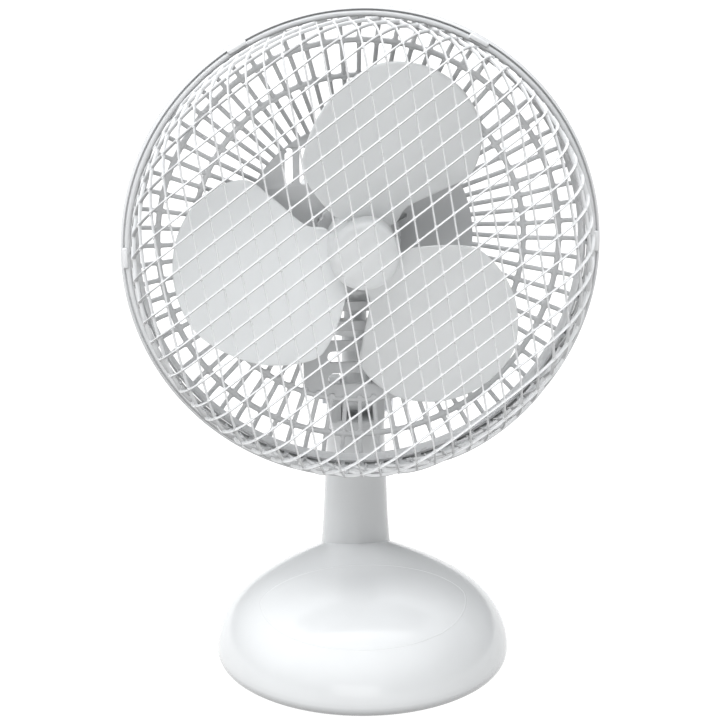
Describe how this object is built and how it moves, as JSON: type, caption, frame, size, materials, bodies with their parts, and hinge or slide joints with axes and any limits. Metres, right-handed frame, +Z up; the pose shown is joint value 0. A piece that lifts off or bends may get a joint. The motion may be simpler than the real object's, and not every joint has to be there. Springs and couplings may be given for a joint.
{
  "type": "desk fan",
  "caption": "Small oscillating desk fan with a round lattice guard, a tilting head on a slim neck and a domed round base",
  "frame": {"origin": "Centre of the round base on the table surface, at the underside of the rubber feet", "axes": "+X to the right seen from the front, -Y the way the air blows, +Z up"},
  "size_m": [0.275, 0.2034, 0.3916],
  "materials": {
    "shell_white": "high gloss moulded plastic",
    "guard_white": "satin moulded plastic",
    "blade_white": "satin moulded plastic, slightly translucent",
    "motor_white": "satin moulded plastic",
    "knob_plastic": "gloss moulded plastic",
    "dark_plastic": "fine textured moulded plastic",
    "foot_rubber": "matt rubber",
    "bright_steel": "zinc plated",
    "core_steel": "stamped laminations",
    "coil_copper": "enamelled copper wire",
    "bearing_bronze": "sintered bronze",
    "gear_plastic": "natural nylon",
    "ballast_iron": "as cast"
  },
  "bodies": {
    "base": {"base_shell": "shell_white", "base_plate": "dark_plastic", "rubber_feet": "foot_rubber", "base_screws": "bright_steel", "ballast_weight": "ballast_iron", "terminal_block": "dark_plastic", "speed_switch": "dark_plastic", "cord_gland": "dark_plastic", "neck": "shell_white", "neck_lock_ring": "bright_steel", "neck_screws": "bright_steel", "tilt_bolt": "bright_steel", "tilt_nut": "bright_steel"},
    "speed_dial": {"switch_spindle": "bright_steel", "speed_knob": "knob_plastic"},
    "tilt_bracket": {"tilt_bracket": "motor_white", "swivel_pin": "bright_steel", "swivel_clip": "bright_steel"},
    "head": {"swivel_housing": "motor_white", "swivel_bush": "bearing_bronze", "gearbox_housing": "dark_plastic", "motor_front_cover": "motor_white", "motor_rear_cover": "motor_white", "cover_screws": "bright_steel", "stator_core": "core_steel", "stator_coils": "coil_copper", "rear_bearing": "bearing_bronze", "front_bearing": "bearing_bronze", "rear_bearing_bracket": "core_steel", "front_bearing_bracket": "core_steel", "motor_bolts": "bright_steel", "rear_guard": "guard_white", "guard_nut": "guard_white", "front_grille_face": "guard_white", "front_grille_wall": "guard_white", "guard_rim": "guard_white", "guard_clips": "guard_white"},
    "spinner": {"motor_shaft": "bright_steel", "rotor": "core_steel", "worm": "bright_steel", "drive_pin": "bright_steel", "impeller": "blade_white", "spinner_cap": "blade_white"},
    "worm_wheel": {"worm_wheel": "gear_plastic"},
    "crank": {"crank_gear": "gear_plastic", "crank_disc": "gear_plastic"},
    "drive_link": {"drive_link": "bright_steel"},
    "oscillation_knob": {"oscillation_knob": "knob_plastic"}
  },
  "joints": [
    {"name": "head_tilt", "type": "hinge", "parent": "base", "child": "tilt_bracket", "pos_m": [0, 0.052, 0.15], "axis": [1, 0, 0], "range_deg": [-25, 10]},
    {"name": "head_oscillation", "type": "hinge", "parent": "tilt_bracket", "child": "head", "pos_m": [0, 0.05348, 0.19227], "axis": [0, 0.0349, 0.9994], "range_deg": [-38, 38]},
    {"name": "blade_spin", "type": "hinge", "parent": "head", "child": "spinner", "pos_m": [0, 0.0052, 0.254], "axis": [0, -0.9994, 0.0349], "continuous": true},
    {"name": "worm_wheel_spin", "type": "hinge", "parent": "head", "child": "worm_wheel", "pos_m": [0.0124, 0.09764, 0.25077], "axis": [0, 0.0349, 0.9994], "continuous": true},
    {"name": "crank_spin", "type": "hinge", "parent": "head", "child": "crank", "pos_m": [0, 0.09695, 0.23078], "axis": [0, 0.0349, 0.9994], "continuous": true},
    {"name": "drive_link_swing", "type": "hinge", "parent": "tilt_bracket", "child": "drive_link", "pos_m": [-0.0125, 0.0536, 0.19587], "axis": [0, 0.0349, 0.9994], "range_deg": [-20, 20]},
    {"name": "oscillation_pull", "type": "slide", "parent": "head", "child": "oscillation_knob", "axis": [0, 0.0349, 0.9994], "range_m": [0, 0.006]},
    {"name": "speed_turn", "type": "hinge", "parent": "base", "child": "speed_dial", "pos_m": [0, 0.079, 0.022], "axis": [0, 1, 0], "range_deg": [0, 135]}
  ],
  "couplings": [
    {"joint": "worm_wheel_spin", "follows": "blade_spin", "ratio": -0.016667},
    {"joint": "crank_spin", "follows": "blade_spin", "ratio": 0.005}
  ]
}
